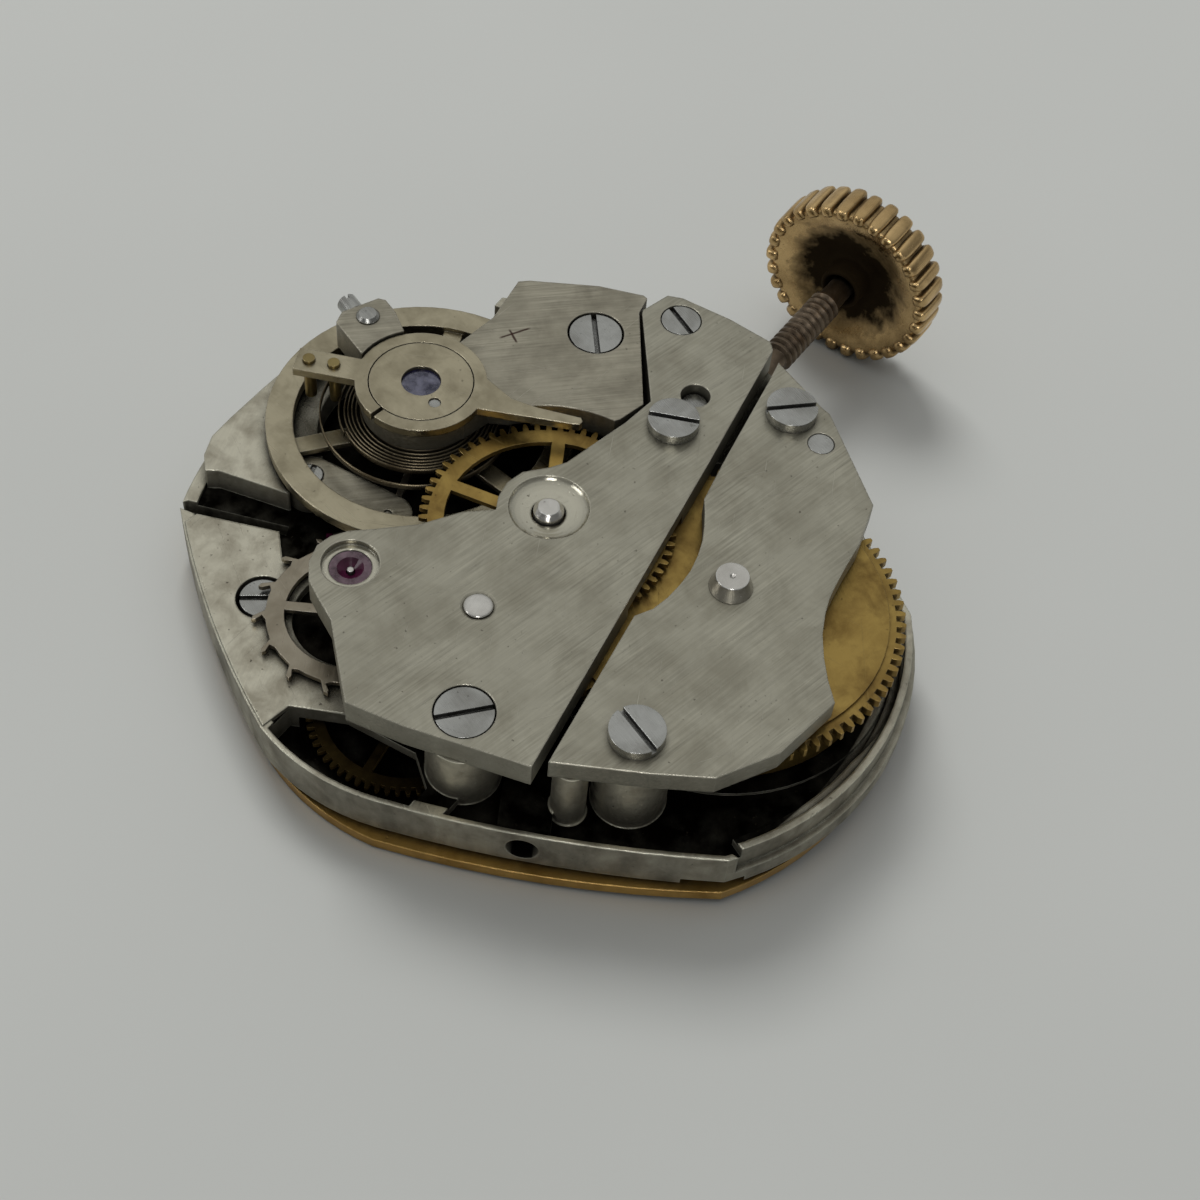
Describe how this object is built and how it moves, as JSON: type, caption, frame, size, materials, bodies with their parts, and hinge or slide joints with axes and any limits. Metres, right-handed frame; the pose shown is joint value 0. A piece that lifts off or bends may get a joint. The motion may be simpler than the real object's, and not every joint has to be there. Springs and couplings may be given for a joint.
{
  "type": "watch movement",
  "caption": "Small hand-wound watch movement with dial, bridges, gear train, escapement, balance, winding stem and fluted crown, lying dial side down.",
  "frame": {"origin": "axis of the centre wheel and hands, at the face of the main plate that the dial seats on", "axes": "+Z from the dial to the bridges, +X along the winding stem to the crown, +Y towards the balance"},
  "size_m": [0.023, 0.0192, 0.0052],
  "materials": {
    "plate_nickel": "nickel plated, brushed and worn",
    "bridge_nickel": "nickel plated with fine straight graining",
    "cock_nickel": "nickel plated with fine graining",
    "dial_gold": "gilt, satin",
    "screw_steel": "polished heads with slot marks",
    "arbor_steel": "polished",
    "escape_steel": "polished",
    "train_brass": "gilt brass, dark between the teeth",
    "balance_nickel": "nickel alloy, satin",
    "hairspring_alloy": "drawn strip",
    "ruby": "polished",
    "cap_jewel": "polished",
    "stem_steel": "dark, oiled thread",
    "crown_gold": "gold coloured, worn flutes"
  },
  "bodies": {
    "movement_frame": {"main_plate": "plate_nickel", "dial": "dial_gold", "train_bridge": "bridge_nickel", "barrel_bridge": "bridge_nickel", "balance_cock": "cock_nickel", "pallet_cock": "cock_nickel", "lower_train_cap": "plate_nickel", "keyless_cover": "screw_steel", "raised_screws": "screw_steel", "flush_screws": "screw_steel", "setting_lever_screw": "screw_steel", "pallet_cock_screw": "screw_steel", "pad_screw": "screw_steel", "dial_side_screws": "screw_steel", "dial_foot_screw": "screw_steel", "steady_pins": "screw_steel", "hole_jewels": "ruby", "cap_setting": "balance_nickel", "cap_jewels": "cap_jewel", "hairspring_stud": "screw_steel", "stud_screw": "screw_steel", "yoke_spring": "screw_steel", "click_spring": "screw_steel"},
    "barrel": {"barrel_drum": "train_brass", "barrel_lid": "train_brass", "mainspring": "arbor_steel"},
    "winding_arbor": {"barrel_arbor": "arbor_steel", "ratchet_wheel": "screw_steel", "ratchet_screw": "screw_steel"},
    "centre_train": {"centre_wheel": "train_brass", "centre_arbor": "arbor_steel", "cannon_pinion": "screw_steel"},
    "third_train": {"third_wheel": "train_brass", "third_arbor": "arbor_steel"},
    "fourth_train": {"fourth_wheel": "train_brass", "fourth_arbor": "arbor_steel"},
    "escape_train": {"escape_wheel": "escape_steel", "escape_arbor": "arbor_steel"},
    "pallets": {"pallet_fork": "escape_steel", "pallet_stones": "ruby", "pallet_staff": "arbor_steel"},
    "balance": {"balance_wheel": "balance_nickel", "balance_staff": "arbor_steel", "roller": "arbor_steel", "impulse_pin": "ruby", "collet": "train_brass", "hairspring": "hairspring_alloy"},
    "regulator_index": {"regulator": "balance_nickel", "curb_pins": "train_brass"},
    "hour_train": {"hour_wheel": "train_brass"},
    "minute_train": {"minute_wheel": "train_brass"},
    "setting_train": {"setting_wheel": "screw_steel"},
    "crown_train": {"crown_wheel": "screw_steel"},
    "winding_drive": {"winding_pinion": "screw_steel"},
    "clutch_drive": {"sliding_clutch": "screw_steel"},
    "stem_and_crown": {"stem": "stem_steel", "crown": "crown_gold"},
    "lever_plate": {"setting_lever": "screw_steel"},
    "yoke_plate": {"yoke": "screw_steel"},
    "click_pawl": {"click": "screw_steel"}
  },
  "joints": [
    {"name": "third_spin", "type": "hinge", "parent": "movement_frame", "child": "third_train", "pos_m": [-0.00344, -0.00045, 0], "axis": [0, 0, 1], "continuous": true},
    {"name": "centre_spin", "type": "hinge", "parent": "movement_frame", "child": "centre_train", "pos_m": [0, 0, 0], "axis": [0, 0, 1], "continuous": true},
    {"name": "barrel_spin", "type": "hinge", "parent": "movement_frame", "child": "barrel", "pos_m": [0.0007, -0.00485, 0], "axis": [0, 0, 1], "continuous": true},
    {"name": "fourth_spin", "type": "hinge", "parent": "movement_frame", "child": "fourth_train", "pos_m": [-0.00525, 0.00026, 0], "axis": [0, 0, 1], "continuous": true},
    {"name": "escape_spin", "type": "hinge", "parent": "movement_frame", "child": "escape_train", "pos_m": [-0.0043, 0.0027, 0], "axis": [0, 0, 1], "continuous": true},
    {"name": "minute_spin", "type": "hinge", "parent": "movement_frame", "child": "minute_train", "pos_m": [0.00155, 0.00012, 0], "axis": [0, 0, 1], "continuous": true},
    {"name": "hour_spin", "type": "hinge", "parent": "movement_frame", "child": "hour_train", "pos_m": [0, 0, 0], "axis": [0, 0, 1], "continuous": true},
    {"name": "setting_spin", "type": "hinge", "parent": "movement_frame", "child": "setting_train", "pos_m": [0.00312, -0.00087, 0], "axis": [0, 0, 1], "continuous": true},
    {"name": "winding_spin", "type": "hinge", "parent": "movement_frame", "child": "winding_drive", "pos_m": [0.006, -0.00087, 0.0014], "axis": [1, 0, 0], "continuous": true},
    {"name": "crown_wheel_spin", "type": "hinge", "parent": "movement_frame", "child": "crown_train", "pos_m": [0.00409, -0.00087, 0], "axis": [0, 0, 1], "continuous": true},
    {"name": "arbor_spin", "type": "hinge", "parent": "movement_frame", "child": "winding_arbor", "pos_m": [0.0007, -0.00485, 0], "axis": [0, 0, 1], "continuous": true},
    {"name": "stem_pull", "type": "slide", "parent": "winding_drive", "child": "stem_and_crown", "axis": [1, 0, 0], "range_m": [0, 0.00045]},
    {"name": "clutch_slide", "type": "slide", "parent": "winding_drive", "child": "clutch_drive", "axis": [1, 0, 0], "range_m": [-0.00036, 0]},
    {"name": "lever_turn", "type": "hinge", "parent": "movement_frame", "child": "lever_plate", "pos_m": [0.00733, 0.001, 0], "axis": [0, 0, 1], "range_deg": [0, 14.2]},
    {"name": "yoke_turn", "type": "hinge", "parent": "movement_frame", "child": "yoke_plate", "pos_m": [0.0051, 0.00175, 0], "axis": [0, 0, 1], "range_deg": [-8.4, 0]},
    {"name": "click_turn", "type": "hinge", "parent": "movement_frame", "child": "click_pawl", "pos_m": [0.00389, -0.00717, 0], "axis": [0, 0, 1], "range_deg": [-14, 2]},
    {"name": "pallet_rock", "type": "hinge", "parent": "movement_frame", "child": "pallets", "pos_m": [-0.00162, 0.00376, 0], "axis": [0, 0, 1], "range_deg": [-5, 5]},
    {"name": "balance_swing", "type": "hinge", "parent": "movement_frame", "child": "balance", "pos_m": [0.00116, 0.00486, 0], "axis": [0, 0, 1], "range_deg": [-135, 135], "deforming": ["hairspring"]},
    {"name": "regulator_turn", "type": "hinge", "parent": "movement_frame", "child": "regulator_index", "pos_m": [0.00116, 0.00486, 0], "axis": [0, 0, 1], "range_deg": [-4, 18]}
  ],
  "couplings": [
    {"joint": "third_spin", "follows": "fourth_spin", "ratio": -0.13333},
    {"joint": "centre_spin", "follows": "fourth_spin", "ratio": 0.016667},
    {"joint": "barrel_spin", "follows": "fourth_spin", "ratio": -0.0025},
    {"joint": "escape_spin", "follows": "fourth_spin", "ratio": -10},
    {"joint": "minute_spin", "follows": "fourth_spin", "ratio": -0.0055556},
    {"joint": "hour_spin", "follows": "fourth_spin", "ratio": 0.0013889},
    {"joint": "setting_spin", "follows": "fourth_spin", "ratio": 0.0092593},
    {"joint": "crown_wheel_spin", "follows": "winding_spin", "ratio": 0.4375},
    {"joint": "arbor_spin", "follows": "winding_spin", "ratio": -0.25},
    {"joint": "clutch_slide", "follows": "stem_pull", "ratio": -0.78},
    {"joint": "lever_turn", "follows": "stem_pull", "rad_per_m": 539},
    {"joint": "yoke_turn", "follows": "stem_pull", "rad_per_m": -309}
  ]
}
